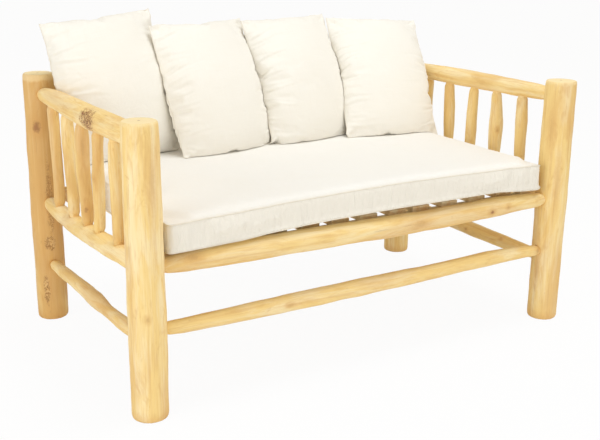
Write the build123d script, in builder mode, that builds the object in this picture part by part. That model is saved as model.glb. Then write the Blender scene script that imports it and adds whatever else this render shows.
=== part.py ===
from build123d import *
import os
from collections import namedtuple
from math import radians, sin

# A patio loveseat of peeled, naturally bent poles with a slatted seat and loose cushions.
# Millimetres. X runs to the right as seen from the front, Y to the back, Z up.
# The poles are drawn with flats, as a drawknife leaves them.
# The origin lies on the floor, midway between the four posts.
# A name that ends in share or shares holds parts of a size that is named beside it.

os.makedirs("parts", exist_ok=True)

rightward = Vector(1, 0, 0)
leftward = Vector(-1, 0, 0)
backward = Vector(0, 1, 0)

# Posts
post_span = 1220
post_reach = 707
post_girth = 83
post_rim = 4
post_sides = 16

# Height of the slats' top, from which the rails and the posts take theirs
slat_top_height = 383

# Rails that carry the seat, and how far their middles lie below the slats' top
seat_rail_girth = 55
front_rail_drop = 29
rear_rail_drop = 31
side_rail_girth = 50
left_rail_front_drop = 31
left_rail_rear_drop = 43
right_rail_front_drop = 35
right_rail_rear_drop = 39

# Arm rails and back rail, and how far their middles lie above the slats' top
left_arm_girth = 57
left_arm_rise = 258
right_arm_girth = 50
right_arm_front_rise = 259
right_arm_rear_rise = 252
back_rail_girth = 50
back_rail_rise = 263

# How far the posts reach above the left arm in front and above the back rail behind
front_post_rise = 42.5
rear_post_rise = 48.5

# Low stretchers
front_stretcher_girth = 42
front_stretcher_height = 205
left_stretcher_girth = 34
left_stretcher_front_height = 176
left_stretcher_rear_height = 163
right_stretcher_girth = 40
right_stretcher_front_height = 174
right_stretcher_rear_height = 176

# Spindles of the two sides and the back
spindle_girth = 31

# Round tenons in blind mortises
rail_tenon_girth = 30
stretcher_tenon_girth = 23
spindle_tenon_girth = 23
tenon_depth = 22
spindle_tenon_depth = 18
tenon_neck = 3
tenon_shoulder = 3
pole_sides = 12
tenon_fit = 0.1
mortise_spare = 0.5
mortise_overrun = 20

# Slats, the ledgers under them, and their fasteners
slat_count = 13
slat_width = 74
slat_thickness = 15
slat_edge = 2
slat_rail_gap = 1.5
slat_post_gap = 4
ledger_height = 34
ledger_depth = 36
ledger_sink = 13.5
ledger_post_gap = 9
screw_count = 3
screw_girth = 6
screw_head_width = 10
screw_head_sides = 6
screw_head_height = 4
screw_length = 52
screw_drop = 22
screw_end_gap = 60
fastener_fit = 0.05

# Seat cushion, and how far it stays clear of the posts at its left and right and of the spindles behind
cushion_rest = 0.3
seat_cushion_left_gap = 5
seat_cushion_right_gap = 17
seat_cushion_rear_gap = 19.5
seat_cushion_overhang = 22
seat_belly = 8
seat_band_height = 67
seat_crown = 5
seat_corner = 24
seat_side_draw = 4

# Back cushions, all alike, each wider by the lap than its part of the seat
pillow_count = 4
pillow_lap = 16.25
pillow_height = 380
pillow_thickness = 142
pillow_corner = 14
pillow_draw = 10
pillow_sink = 6

half_span = post_span / 2
half_reach = post_reach / 2
seat_cushion_width = post_span - post_girth - seat_cushion_left_gap - seat_cushion_right_gap
seat_cushion_depth = post_reach + seat_cushion_overhang - spindle_girth / 2 - seat_cushion_rear_gap
pillow_width = seat_cushion_width / pillow_count + pillow_lap
front_post_height = slat_top_height + left_arm_rise + front_post_rise
rear_post_height = slat_top_height + back_rail_rise + rear_post_rise


# Poles

# Each row: share of the run, sideways and upward offset and girth, as shares of the pole's girth.
front_left_post_shares = (
    (0, 0, 0, 1.00), (0.24, 0.01, 0, 1.04), (0.62, 0, 0.01, 1.00), (1, -0.02, 0, 0.96),
)
front_right_post_shares = (
    (0, 0, 0, 0.97), (0.2, 0.01, 0, 0.98), (0.52, 0.01, 0.01, 1.02), (1, 0.02, 0, 0.98),
)
rear_left_post_shares = ((0, 0, 0, 1.01), (0.34, -0.01, 0, 0.99), (0.7, 0, 0.01, 0.98), (1, 0.01, 0, 0.97))
rear_right_post_shares = ((0, 0, 0, 0.97), (0.3, 0.01, 0.01, 1.01), (0.66, 0, 0.01, 1.00), (1, 0, 0, 0.97))
front_rail_shares = (
    (0.08, 0, 0, 0.78), (0.14, -0.01, 0.03, 0.91), (0.24, -0.03, 0.06, 0.98), (0.38, -0.04, 0.05, 0.99),
    (0.53, -0.03, -0.02, 1.00), (0.68, 0.01, -0.04, 0.97), (0.83, 0.02, 0.02, 0.93), (0.92, 0, 0.04, 0.80),
)
rear_rail_shares = (
    (0.08, 0, 0, 0.80), (0.20, 0.02, -0.02, 0.94), (0.42, 0.03, -0.05, 1.00), (0.64, 0, -0.04, 0.97),
    (0.82, 0, 0, 0.90), (0.92, 0, 0, 0.80),
)
back_rail_shares = (
    (0.07, 0.03, 0, 0.80), (0.18, 0.06, 0.03, 0.94), (0.38, 0.09, 0.05, 1.00), (0.60, 0.09, 0, 0.98),
    (0.80, 0.06, -0.01, 0.96), (0.93, 0.02, 0, 0.80),
)
left_rail_shares = (
    (0.10, 0, 0, 0.84), (0.24, 0.03, -0.01, 0.95), (0.42, 0.05, -0.10, 0.99), (0.62, 0.05, -0.17, 0.98),
    (0.79, 0.02, -0.14, 0.89), (0.90, 0, -0.03, 0.76),
)
right_rail_shares = (
    (0.10, 0, 0, 0.84), (0.26, 0.03, -0.04, 0.95), (0.52, 0.04, -0.08, 0.98), (0.76, 0.02, -0.03, 0.92),
    (0.90, 0, 0, 0.80),
)
left_arm_shares = (
    (0.09, 0, 0, 0.89), (0.20, 0, 0.01, 0.96), (0.42, 0.03, -0.03, 1.00), (0.60, 0.02, 0, 0.94),
    (0.78, -0.01, 0.02, 0.84), (0.90, 0, 0.01, 0.70),
)
right_arm_shares = (
    (0.10, 0, 0, 0.84), (0.26, -0.02, 0, 0.93), (0.46, -0.03, 0.01, 1.01), (0.64, -0.02, 0.01, 1.01),
    (0.80, 0.01, 0, 0.94), (0.90, 0, 0, 0.82),
)
front_stretcher_shares = (
    (0.07, 0, -0.04, 0.80), (0.16, 0.01, -0.06, 0.91), (0.30, 0.04, -0.04, 1.01), (0.47, 0.04, -0.01, 1.01),
    (0.66, -0.03, 0.05, 0.90), (0.82, -0.02, 0.14, 0.92), (0.92, 0, 0.08, 0.80),
)
left_stretcher_shares = (
    (0.10, 0, 0.02, 0.86), (0.20, 0.05, 0.04, 0.94), (0.37, -0.05, -0.12, 0.94), (0.48, -0.03, 0, 1.18),
    (0.60, 0.03, 0.10, 1.00), (0.71, 0.05, 0.13, 0.90), (0.84, 0.01, 0, 0.92), (0.91, 0, 0, 0.82),
)
right_stretcher_shares = (
    (0.10, 0, 0, 0.84), (0.24, 0.03, 0.02, 0.94), (0.44, 0, 0.02, 1.04), (0.64, -0.04, 0.05, 0.98),
    (0.82, -0.02, 0.02, 0.92), (0.91, 0, 0, 0.80),
)

# Spindles: where each foot and head stands along its rail, as shares of the rail's run.
left_foot_shares = (0.821, 0.647, 0.500, 0.390, 0.210)
left_head_shares = (0.842, 0.685, 0.524, 0.363, 0.217)
right_foot_shares = (0.794, 0.637, 0.499, 0.339, 0.193)
right_head_shares = (0.796, 0.658, 0.492, 0.353, 0.200)
back_foot_shares = (0.135, 0.238, 0.348, 0.445, 0.552, 0.660, 0.758, 0.866)
back_head_shares = (0.140, 0.244, 0.342, 0.451, 0.546, 0.666, 0.754, 0.870)
left_spindle_shares = (
    ((0.30, 0.04, -0.08, 0.90), (0.75, -0.04, -0.10, 0.95)),
    ((0.30, 0.05, 0.05, 1.01), (0.72, 0, 0.04, 1.06)),
    ((0.28, 0.03, 0.12, 0.98), (0.52, -0.05, 0.22, 1.08), (0.82, 0, 0.08, 1.16)),
    ((0.25, 0, -0.10, 0.86), (0.50, 0.06, 0.14, 0.96), (0.78, 0, 0.05, 0.87)),
    ((0.35, 0.05, 0.08, 1.00), (0.75, -0.03, 0.03, 0.97)),
)
right_spindle_shares = (
    ((0.35, 0.04, 0.06, 0.92), (0.75, 0, 0.08, 0.90)),
    ((0.30, 0, -0.03, 0.95), (0.65, 0.03, -0.04, 1.12)),
    ((0.32, 0.03, 0.08, 1.00), (0.65, -0.03, 0.03, 1.10)),
    ((0.30, 0, 0.02, 1.12), (0.62, 0.03, -0.06, 1.30)),
    ((0.30, 0.03, -0.02, 0.98), (0.68, 0, -0.02, 1.11)),
)
back_spindle_shares = (
    ((0.30, 0.06, 0.03, 1.00), (0.70, -0.05, 0, 1.05)),
    ((0.35, -0.08, 0, 1.08), (0.72, 0.02, 0.03, 0.95)),
    ((0.28, 0.03, -0.03, 0.93), (0.64, 0.10, 0, 1.02)),
)

# A seat is the piece that takes a tenon, the middle of that piece there, and its half girth.
Seat = namedtuple("Seat", "carrier middle radius")
Pole = namedtuple("Pole", "start end side girth shares tenon_girth tenon_depth")


def post(across, back, height, shares):
    """A post stands on the floor and is seated in nothing."""
    foot, head = Seat(None, Vector(across, back, 0), 0), Seat(None, Vector(across, back, height), 0)
    return Pole(foot, head, rightward, post_girth, shares, 0, 0)


def cross_pole(back, height, girth, shares, tenon_girth, start_in, end_in):
    """A pole from a left post to the right post beside it."""
    start = Seat(start_in, Vector(-half_span, back, height), post_girth / 2)
    end = Seat(end_in, Vector(half_span, back, height), post_girth / 2)
    return Pole(start, end, backward, girth, shares, tenon_girth, tenon_depth)


def side_pole(across, front_height, rear_height, girth, shares, tenon_girth, start_in, end_in):
    """A pole from a front post to the rear post behind it."""
    start = Seat(start_in, Vector(across, -half_reach, front_height), post_girth / 2)
    end = Seat(end_in, Vector(across, half_reach, rear_height), post_girth / 2)
    return Pole(start, end, leftward, girth, shares, tenon_girth, tenon_depth)


posts = {
    "front_left_post": post(-half_span, -half_reach, front_post_height, front_left_post_shares),
    "front_right_post": post(half_span, -half_reach, front_post_height, front_right_post_shares),
    "rear_left_post": post(-half_span, half_reach, rear_post_height, rear_left_post_shares),
    "rear_right_post": post(half_span, half_reach, rear_post_height, rear_right_post_shares),
}
rails = {
    "front_seat_rail": cross_pole(
        -half_reach, slat_top_height - front_rail_drop, seat_rail_girth, front_rail_shares,
        rail_tenon_girth, "front_left_post", "front_right_post"),
    "rear_seat_rail": cross_pole(
        half_reach, slat_top_height - rear_rail_drop, seat_rail_girth, rear_rail_shares,
        rail_tenon_girth, "rear_left_post", "rear_right_post"),
    "back_rail": cross_pole(
        half_reach, slat_top_height + back_rail_rise, back_rail_girth, back_rail_shares,
        rail_tenon_girth, "rear_left_post", "rear_right_post"),
    "left_seat_rail": side_pole(
        -half_span, slat_top_height - left_rail_front_drop, slat_top_height - left_rail_rear_drop,
        side_rail_girth, left_rail_shares, rail_tenon_girth, "front_left_post", "rear_left_post"),
    "right_seat_rail": side_pole(
        half_span, slat_top_height - right_rail_front_drop, slat_top_height - right_rail_rear_drop,
        side_rail_girth, right_rail_shares, rail_tenon_girth, "front_right_post", "rear_right_post"),
    "left_arm_rail": side_pole(
        -half_span, slat_top_height + left_arm_rise, slat_top_height + left_arm_rise,
        left_arm_girth, left_arm_shares, rail_tenon_girth, "front_left_post", "rear_left_post"),
    "right_arm_rail": side_pole(
        half_span, slat_top_height + right_arm_front_rise, slat_top_height + right_arm_rear_rise,
        right_arm_girth, right_arm_shares, rail_tenon_girth, "front_right_post", "rear_right_post"),
    "front_stretcher": cross_pole(
        -half_reach, front_stretcher_height, front_stretcher_girth, front_stretcher_shares,
        stretcher_tenon_girth, "front_left_post", "front_right_post"),
    "left_stretcher": side_pole(
        -half_span, left_stretcher_front_height, left_stretcher_rear_height, left_stretcher_girth,
        left_stretcher_shares, stretcher_tenon_girth, "front_left_post", "rear_left_post"),
    "right_stretcher": side_pole(
        half_span, right_stretcher_front_height, right_stretcher_rear_height,
        right_stretcher_girth, right_stretcher_shares, stretcher_tenon_girth,
        "front_right_post", "rear_right_post"),
}


def run_plane(pole):
    """The plane across a pole at its start, facing along it."""
    return Plane(origin=pole.start.middle, x_dir=pole.side, z_dir=pole.end.middle - pole.start.middle)


def run_length(pole):
    """How far apart the middles of a pole's two seats are."""
    return (pole.end.middle - pole.start.middle).length


def seat_on(name, along_share):
    """The seat that a bent rail offers at a share of its run."""
    rail = rails[name]
    after = next(index for index, row in enumerate(rail.shares) if row[0] >= along_share)
    low, high = rail.shares[after - 1], rail.shares[after]
    blend_share = (along_share - low[0]) / (high[0] - low[0])
    sideways, rise, girth = (
        rail.girth * (near + (far - near) * blend_share) for near, far in zip(low[1:], high[1:]))
    middle = run_plane(rail).from_local_coords(
        Vector(sideways, rise, run_length(rail) * along_share))
    return Seat(name, middle, girth / 2)


def spindles_between(label, low_rail, high_rail, foot_shares, head_shares, shares):
    """The spindles that stand on one rail and reach up to the rail above it."""
    return {
        f"{label}_spindle_{index + 1}": Pole(
            seat_on(low_rail, foot_share), seat_on(high_rail, head_share), rightward,
            spindle_girth, shares[index % len(shares)], spindle_tenon_girth, spindle_tenon_depth)
        for index, (foot_share, head_share) in enumerate(zip(foot_shares, head_shares))
    }


spindles = {
    **spindles_between(
        "left", "left_seat_rail", "left_arm_rail", left_foot_shares, left_head_shares,
        left_spindle_shares),
    **spindles_between(
        "right", "right_seat_rail", "right_arm_rail", right_foot_shares, right_head_shares,
        right_spindle_shares),
    **spindles_between(
        "back", "rear_seat_rail", "back_rail", back_foot_shares, back_head_shares,
        back_spindle_shares),
}
seated = {**rails, **spindles}


def seat_plane(pole, seat):
    """The plane across a pole at the middle of one of its seats, facing along the pole's body."""
    other = pole.start if seat is pole.end else pole.end
    return Plane(origin=seat.middle, x_dir=pole.side, z_dir=other.middle - seat.middle)


def flat_sided(sections):
    """The solid with flat sides through sections whose edges run parallel from one to the next."""
    skin = [sections[0], sections[-1]]
    for low, high in zip(sections, sections[1:]):
        for near, far in zip(low.edges(), high.edges()):
            skin.append(Face(Wire.make_polygon((near @ 0, near @ 1, far @ 1, far @ 0))))
    return Solid(Shell(skin))


def log_form(pole):
    """A gently bent pole with flats, drawn down to a whittled tenon at each seated end."""
    length = run_length(pole)
    rows = [
        (length * along_share, pole.girth * side_share, pole.girth * rise_share,
         pole.girth * girth_share)
        for along_share, side_share, rise_share, girth_share in pole.shares
    ]
    if pole.tenon_girth:
        shoulder = pole.tenon_girth + 2 * tenon_shoulder
        neck, far_neck = pole.start.radius + tenon_neck, pole.end.radius + tenon_neck
        tip, far_tip = pole.start.radius - pole.tenon_depth, pole.end.radius - pole.tenon_depth
        rows = [
            (tip, 0, 0, pole.tenon_girth), (neck, 0, 0, pole.tenon_girth),
            (neck + tenon_shoulder, 0, 0, shoulder), *rows,
            (length - far_neck - tenon_shoulder, 0, 0, shoulder),
            (length - far_neck, 0, 0, pole.tenon_girth), (length - far_tip, 0, 0, pole.tenon_girth)]
    sides = pole_sides if pole.tenon_girth else post_sides
    sections = []
    for along, sideways, rise, girth in rows:
        with BuildSketch(run_plane(pole).offset(along)) as section:
            with Locations((sideways, rise)):
                RegularPolygon(girth / 2, sides)
        sections.append(section.sketch.face())
    return flat_sided(sections)


def mortises_in(name):
    """Every blind hole cut into a piece for the tenons that it takes."""
    bores = []
    for pole in seated.values():
        for seat in (pole.start, pole.end):
            if seat.carrier == name:
                floor = seat.radius - pole.tenon_depth - mortise_spare
                with BuildPart() as bore:
                    with BuildSketch(seat_plane(pole, seat).offset(floor)):
                        RegularPolygon(pole.tenon_girth / 2 + tenon_fit, pole_sides)
                    extrude(amount=pole.tenon_depth + mortise_spare + mortise_overrun)
                bores.append(bore.part)
    return bores


# Slats and ledgers

slat_reach = half_reach - seat_rail_girth / 2 - slat_rail_gap
slat_run = post_span - post_girth - 2 * slat_post_gap - slat_width
slat_pitch = slat_run / (slat_count - 1)
slat_shift_shares = (
    -0.01, -0.08, -0.12, -0.14, -0.09, -0.09, -0.12, -0.08, -0.22, -0.16, -0.05, 0.01, 0.00,
)
slat_places = [
    slat_pitch * (index + slat_shift_shares[index % len(slat_shift_shares)]) - slat_run / 2
    for index in range(slat_count)
]
ledger_top = slat_top_height - slat_thickness
ledger_outer = half_reach - ledger_sink
ledger_inner = ledger_outer - ledger_depth
ledger_length = post_span - post_girth - 2 * ledger_post_gap
screw_height = ledger_top - screw_drop
screw_run = ledger_length - 2 * screw_end_gap
screw_places = [
    screw_run * (index / (screw_count - 1) - 1 / 2) for index in range(screw_count)
]


def shank_form(fit=0):
    """A coach screw's shank, from its head along +Z, or the hole for it."""
    with BuildPart() as shank:
        with BuildSketch():
            Circle(screw_girth / 2 + fit)
        extrude(amount=screw_length + fit)
    return shank.part


def screw_planes(towards):
    """Where the screws stand on a ledger's inner face: towards is -1 at the front, 1 at the rear."""
    return [
        Plane(origin=(place, towards * ledger_inner, screw_height), z_dir=backward * towards)
        for place in screw_places
    ]


for name, pole in posts.items():
    with BuildPart() as log:
        add(log_form(pole))
        rims = log.edges().group_by(Axis.Z)
        chamfer(rims[0] + rims[-1], length=post_rim)
        add(mortises_in(name), mode=Mode.SUBTRACT)
    log.part.label = name
    export_step(log.part, f"parts/{name}.step")

ledger_sides = {"front_seat_rail": -1, "rear_seat_rail": 1}
for name, pole in rails.items():
    with BuildPart() as log:
        add(log_form(pole))
        if mortises_in(name):
            add(mortises_in(name), mode=Mode.SUBTRACT)
        if name in ledger_sides:
            with Locations(*screw_planes(ledger_sides[name])):
                add(shank_form(fastener_fit), mode=Mode.SUBTRACT)
    log.part.label = name
    export_step(log.part, f"parts/{name}.step")

for name, pole in spindles.items():
    with BuildPart() as spindle:
        add(log_form(pole))
    spindle.part.label = name
    export_step(spindle.part, f"parts/{name}.step")

for name, rail in (("front_slat_ledger", "front_seat_rail"), ("rear_slat_ledger", "rear_seat_rail")):
    with BuildPart() as ledger:
        with BuildSketch(Plane.XY.offset(ledger_top)):
            with Locations((0, ledger_sides[rail] * (ledger_inner + ledger_outer) / 2)):
                Rectangle(ledger_length, ledger_depth)
        extrude(amount=-ledger_height)
        add(log_form(rails[rail]), mode=Mode.SUBTRACT)
        with Locations(*screw_planes(ledger_sides[rail])):
            add(shank_form(fastener_fit), mode=Mode.SUBTRACT)
    ledger.part.label = name
    export_step(ledger.part, f"parts/{name}.step")

for index, place in enumerate(slat_places):
    with BuildPart() as slat:
        with BuildSketch(Plane.XZ.offset(slat_reach)) as slat_face:
            with Locations((place, slat_top_height - slat_thickness / 2)):
                Rectangle(slat_width, slat_thickness)
            chamfer(slat_face.vertices(), length=slat_edge)
        extrude(amount=-2 * slat_reach)
    slat.part.label = f"seat_slat_{index + 1}"
    export_step(slat.part, f"parts/seat_slat_{index + 1}.step")

with BuildPart() as ledger_screws:
    with Locations(*screw_planes(-1), *screw_planes(1)):
        add(shank_form())
    with BuildSketch(*screw_planes(-1), *screw_planes(1)):
        RegularPolygon(screw_head_width / 2, screw_head_sides, major_radius=False)
    extrude(amount=-screw_head_height)
ledger_screws.part.label = "ledger_screws"
export_step(ledger_screws.part, "parts/ledger_screws.step")


# Cushions


# How much of the draw is left halfway to a corner, and how far a corner's tip is cut back.
halfway_draw_share = 0.75
corner_tip_share = 0.25


def drawn_in_outline(width, height, corner, draw):
    """A panel whose sides pull in by draw between corners that are blunted at corner."""
    right, top = width / 2, height / 2
    tip = corner * corner_tip_share
    with BuildLine() as outline:
        Polyline(
            (right - draw, 0), (right - draw * halfway_draw_share, top / 2), (right, top - corner),
            (right - tip, top - tip),
            (right - corner, top), (right / 2, top - draw * halfway_draw_share), (0, top - draw))
        mirror(about=Plane.YZ)
        mirror(about=Plane.XZ)
    return outline.line.edges()


seat_bottom = slat_top_height + cushion_rest
seat_top = seat_bottom + seat_belly + seat_band_height + seat_crown
seat_left = half_span - post_girth / 2 - seat_cushion_left_gap
seat_middle = (
    seat_cushion_width / 2 - seat_left, seat_cushion_depth / 2 - half_reach - seat_cushion_overhang)

# Each row: share of the crown's rise, and share of the outline that is left there.
seat_crown_shares = ((0, 1), (0.55, 0.955), (1, 0.86))
# Each row: share of the band's height, and share of the outline there.
seat_band_shares = ((0.5, 1.004),)


def seat_section(height, outline_share):
    """One level of the seat cushion."""
    with BuildSketch(Plane(origin=(*seat_middle, height))) as level:
        make_face(
            drawn_in_outline(
                seat_cushion_width * outline_share, seat_cushion_depth * outline_share,
                seat_corner * outline_share, seat_side_draw * outline_share))
    return level.sketch.face()


low_seam = seat_bottom + seat_belly
high_seam = low_seam + seat_band_height
belly = [
    seat_section(low_seam - seat_belly * rise_share, outline_share)
    for rise_share, outline_share in reversed(seat_crown_shares)
]
band = [
    seat_section(low_seam + seat_band_height * level_share, outline_share)
    for level_share, outline_share in seat_band_shares
]
crown = [
    seat_section(high_seam + seat_crown * rise_share, outline_share)
    for rise_share, outline_share in seat_crown_shares
]
seat_form = flat_sided(belly + band + crown)
with BuildPart() as seat_cushion:
    add(seat_form)
seat_cushion.part.label = "seat_cushion"
export_step(seat_cushion.part, "parts/seat_cushion.step")

# Each row: the foot seam's middle as shares of the post spacings, then turn, lean and tip in degrees.
pillow_place_shares = {
    "back_cushion_1": (-0.3455, 0.282, 3, 16.5, 4.6),
    "back_cushion_2": (-0.1205, 0.210, 11.5, 21, 0.5),
    "back_cushion_3": (0.118, 0.252, 11, 20, 0),
    "back_cushion_4": (0.328, 0.153, -4, 29, -3.5),
}
# Each row: share of half the thickness, and share of the outline that is left there.
pillow_crown_shares = ((0, 1), (0.30, 0.945), (0.66, 0.80), (0.90, 0.60), (1, 0.36))


def pillow_face(across, back, turn, lean, tip):
    """The plane of a back cushion's seam, facing forward, with its origin at the outline's middle."""
    raised = pillow_width / 2 * abs(sin(radians(tip)))
    stand = Location((across, back, seat_top - pillow_sink), (0, 0, turn))
    leaned = stand * Location((0, 0, 0), (-lean, 0, 0)) * Location((0, 0, raised), (0, -tip, 0))
    return Plane(leaned * Location((0, 0, pillow_height / 2)) * Plane.XZ.location)


for name, (across_share, back_share, turn, lean, tip) in pillow_place_shares.items():
    face = pillow_face(post_span * across_share, post_reach * back_share, turn, lean, tip)
    front_half = [(rise_share, outline_share) for rise_share, outline_share in pillow_crown_shares]
    back_half = [(-rise_share, outline_share) for rise_share, outline_share in pillow_crown_shares[1:]]
    sections = []
    for rise_share, outline_share in (*reversed(back_half), *front_half):
        with BuildSketch(face.offset(rise_share * pillow_thickness / 2)) as section:
            make_face(
                drawn_in_outline(
                    pillow_width * outline_share, pillow_height * outline_share,
                    pillow_corner * outline_share, pillow_draw * outline_share))
        sections.append(section.sketch.face())
    with BuildPart() as pillow:
        add(flat_sided(sections))
        with Locations((0, 0, cushion_rest)):
            add(seat_form, mode=Mode.SUBTRACT)
    pillow.part.label = name
    export_step(pillow.part, f"parts/{name}.step")
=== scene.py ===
import math
import random

import bpy
import numpy as np
from bpy.props import FloatProperty, FloatVectorProperty, PointerProperty
from mathutils import Matrix, Vector, noise
from mathutils.bvhtree import BVHTree


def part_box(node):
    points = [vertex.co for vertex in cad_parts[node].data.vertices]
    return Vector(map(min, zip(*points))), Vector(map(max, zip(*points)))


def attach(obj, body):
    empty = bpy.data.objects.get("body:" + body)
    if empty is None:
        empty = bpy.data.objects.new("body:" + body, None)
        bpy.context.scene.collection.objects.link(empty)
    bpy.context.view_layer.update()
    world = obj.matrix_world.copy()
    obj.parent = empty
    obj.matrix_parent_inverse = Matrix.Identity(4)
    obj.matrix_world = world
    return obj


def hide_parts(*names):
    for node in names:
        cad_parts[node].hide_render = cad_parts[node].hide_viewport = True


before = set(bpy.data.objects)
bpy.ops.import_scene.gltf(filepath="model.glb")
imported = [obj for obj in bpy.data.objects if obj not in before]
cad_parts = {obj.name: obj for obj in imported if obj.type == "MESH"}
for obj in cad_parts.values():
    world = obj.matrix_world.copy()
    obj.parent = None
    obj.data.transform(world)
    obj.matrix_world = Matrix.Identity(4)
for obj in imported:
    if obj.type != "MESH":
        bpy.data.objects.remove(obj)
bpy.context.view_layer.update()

bl_info = {
    "name": "Patio Loveseat",
    "version": (1, 0, 0),
    "blender": (4, 5, 0),
    "location": "View3D > Sidebar > Loveseat",
    "description": "Peeled poles, a slatted seat and loose cotton cushions, one button for each group",
    "category": "Add Mesh",
}

# Points nearer to each other than this, in metres, count as one.
TIDY = 1e-5
LAMP_TINT = (0.88, 0.935, 1.0)
# Where the pith of a post lies, either way from the middle.
PITH = (0.6115, 0.3520, 0.0)
# Width and height of a back cushion between the corners of its CAD node.
CUSHION_SIZE = (0.295, 0.380)

# Pieces by what they are made of and how their grain runs. A shade is 0 if pale and 1 or more if tan.
# The rear left post's shade of 1.30 is partly darker wood and partly painted shade from the arm and back
# cushion above it.
POSTS = {
    "front_left_post": 0.35, "front_right_post": 0.50, "rear_left_post": 1.30, "rear_right_post": 0.15,
}
CROSS_POLES = ("front_seat_rail", "rear_seat_rail", "back_rail", "front_stretcher")
SIDE_POLES = (
    "left_seat_rail", "right_seat_rail", "left_arm_rail", "right_arm_rail",
    "left_stretcher", "right_stretcher",
)
CROSS_SHADE, SIDE_SHADE = 0.20, 0.10
SPINDLES = {
    side: [f"{side}_spindle_{index}" for index in range(1, count + 1)]
    for side, count in (("left", 5), ("right", 5), ("back", 8))
}
SPINDLE_SHADES = {"left": 0.70, "right": 0.45, "back": 0.50}
SLATS = tuple(f"seat_slat_{index}" for index in range(1, 14))
LEDGERS = ("front_slat_ledger", "rear_slat_ledger")

# How far a knot stands proud, and the most that it spreads.
KNOT_RISE, KNOT_REACH = 0.0022, 0.018
# Knots and stains: carrier, place in metres, half length along the grain, half width, depth.
KNOTS = (
    ("rear_left_post", (-0.632, 0.321, 0.554), 0.022, 0.015, 0.85),
    ("front_left_post", (-0.624, -0.393, 0.251), 0.008, 0.006, 0.35),
    ("front_left_post", (-0.615, -0.393, 0.649), 0.011, 0.0012, 0.80),
    ("front_left_post", (-0.604, -0.395, 0.560), 0.060, 0.010, 0.22),
    ("front_right_post", (0.571, -0.360, 0.251), 0.016, 0.004, 0.40),
    ("front_right_post", (0.571, -0.360, 0.153), 0.040, 0.006, 0.32),
    ("front_right_post", (0.574, -0.370, 0.553), 0.055, 0.008, 0.25),
    ("front_right_post", (0.590, -0.390, 0.400), 0.070, 0.007, 0.22),
    ("front_seat_rail", (0.370, -0.377, 0.351), 0.010, 0.008, 0.95),
    ("front_seat_rail", (0.427, -0.377, 0.357), 0.008, 0.006, 0.60),
    ("front_seat_rail", (0.129, -0.381, 0.355), 0.026, 0.011, 0.34),
    ("front_seat_rail", (-0.502, -0.370, 0.366), 0.020, 0.012, 0.40),
    ("front_stretcher", (0.562, -0.367, 0.208), 0.010, 0.008, 0.50),
    ("front_stretcher", (-0.250, -0.374, 0.206), 0.012, 0.005, 0.30),
    ("right_stretcher", (0.597, -0.183, 0.186), 0.007, 0.006, 0.75),
    ("right_stretcher", (0.590, -0.030, 0.178), 0.007, 0.005, 0.55),
    ("left_spindle_3", (-0.618, -0.007, 0.402), 0.011, 0.007, 0.95),
    ("left_spindle_3", (-0.618, -0.004, 0.426), 0.006, 0.004, 0.75),
    ("left_spindle_3", (-0.617, 0.000, 0.560), 0.030, 0.006, 0.35),
    ("left_spindle_4", (-0.622, -0.090, 0.500), 0.006, 0.004, 0.80),
    ("right_spindle_4", (0.601, -0.127, 0.507), 0.008, 0.005, 0.40),
    ("right_spindle_5", (0.596, -0.215, 0.600), 0.010, 0.005, 0.35),
    ("back_spindle_3", (-0.196, 0.372, 0.470), 0.010, 0.007, 0.70),
    ("back_spindle_6", (0.200, 0.372, 0.560), 0.009, 0.006, 0.60),
    ("back_rail", (0.300, 0.382, 0.646), 0.012, 0.009, 0.80),
    ("back_rail", (-0.260, 0.384, 0.655), 0.009, 0.007, 0.50),
    ("rear_seat_rail", (0.080, 0.382, 0.345), 0.013, 0.010, 0.80),
    ("right_arm_rail", (0.636, 0.050, 0.645), 0.010, 0.008, 0.70),
    ("right_seat_rail", (0.636, -0.080, 0.338), 0.012, 0.009, 0.70),
    ("rear_right_post", (0.645, 0.376, 0.420), 0.015, 0.011, 0.80),
    ("rear_left_post", (-0.640, 0.384, 0.300), 0.015, 0.011, 0.70),
)
# Rough patches of bark: carrier, place, half length along the grain, half width, strength.
BARK = (
    ("left_arm_rail", (-0.637, -0.101, 0.644), 0.044, 0.030, 1.00),
    ("rear_left_post", (-0.612, 0.313, 0.345), 0.120, 0.011, 0.45),
    ("rear_left_post", (-0.619, 0.314, 0.228), 0.022, 0.016, 0.60),
    ("rear_left_post", (-0.634, 0.320, 0.089), 0.046, 0.009, 0.60),
)

# Back cushions: foot of the seam, then turn, lean and tip in degrees, fullness and a seed for creases.
BACK_CUSHIONS = {
    "back_cushion_1": ((-0.4150, 0.1940, 0.4573), 3.0, 17.0, 5.4, 1.12, 3),
    "back_cushion_2": ((-0.1430, 0.1340, 0.4573), 10.5, 23.0, 0.8, 1.07, 11),
    "back_cushion_3": ((0.1500, 0.1600, 0.4573), 10.0, 22.5, 0.4, 1.05, 23),
    "back_cushion_4": ((0.3970, 0.1010, 0.4573), -4.0, 30.0, -3.5, 1.02, 37),
}
WAVE_REACH = 0.16
# How far the seat cushion's front seams rise, at places across: x, top seam, bottom seam.
FRONT_WAVE = (
    (-0.565, -0.010, -0.006), (-0.380, -0.002, -0.002), (-0.310, 0.000, 0.004), (-0.210, 0.003, 0.009),
    (-0.080, 0.006, 0.012), (0.060, 0.008, 0.013), (0.393, 0.004, 0.011), (0.480, 0.002, 0.003),
    (0.535, 0.001, 0.000), (0.556, -0.006, 0.008),
)


# Properties


def colour(name, description, default):
    """A colour that a user may change."""
    return FloatVectorProperty(
        name=name, description=description, default=default, size=3, min=0, max=1, subtype="COLOR")


def length(name, description, default):
    """A length that a user may change, in metres."""
    return FloatProperty(name=name, description=description, default=default, min=0, unit="LENGTH")


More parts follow.
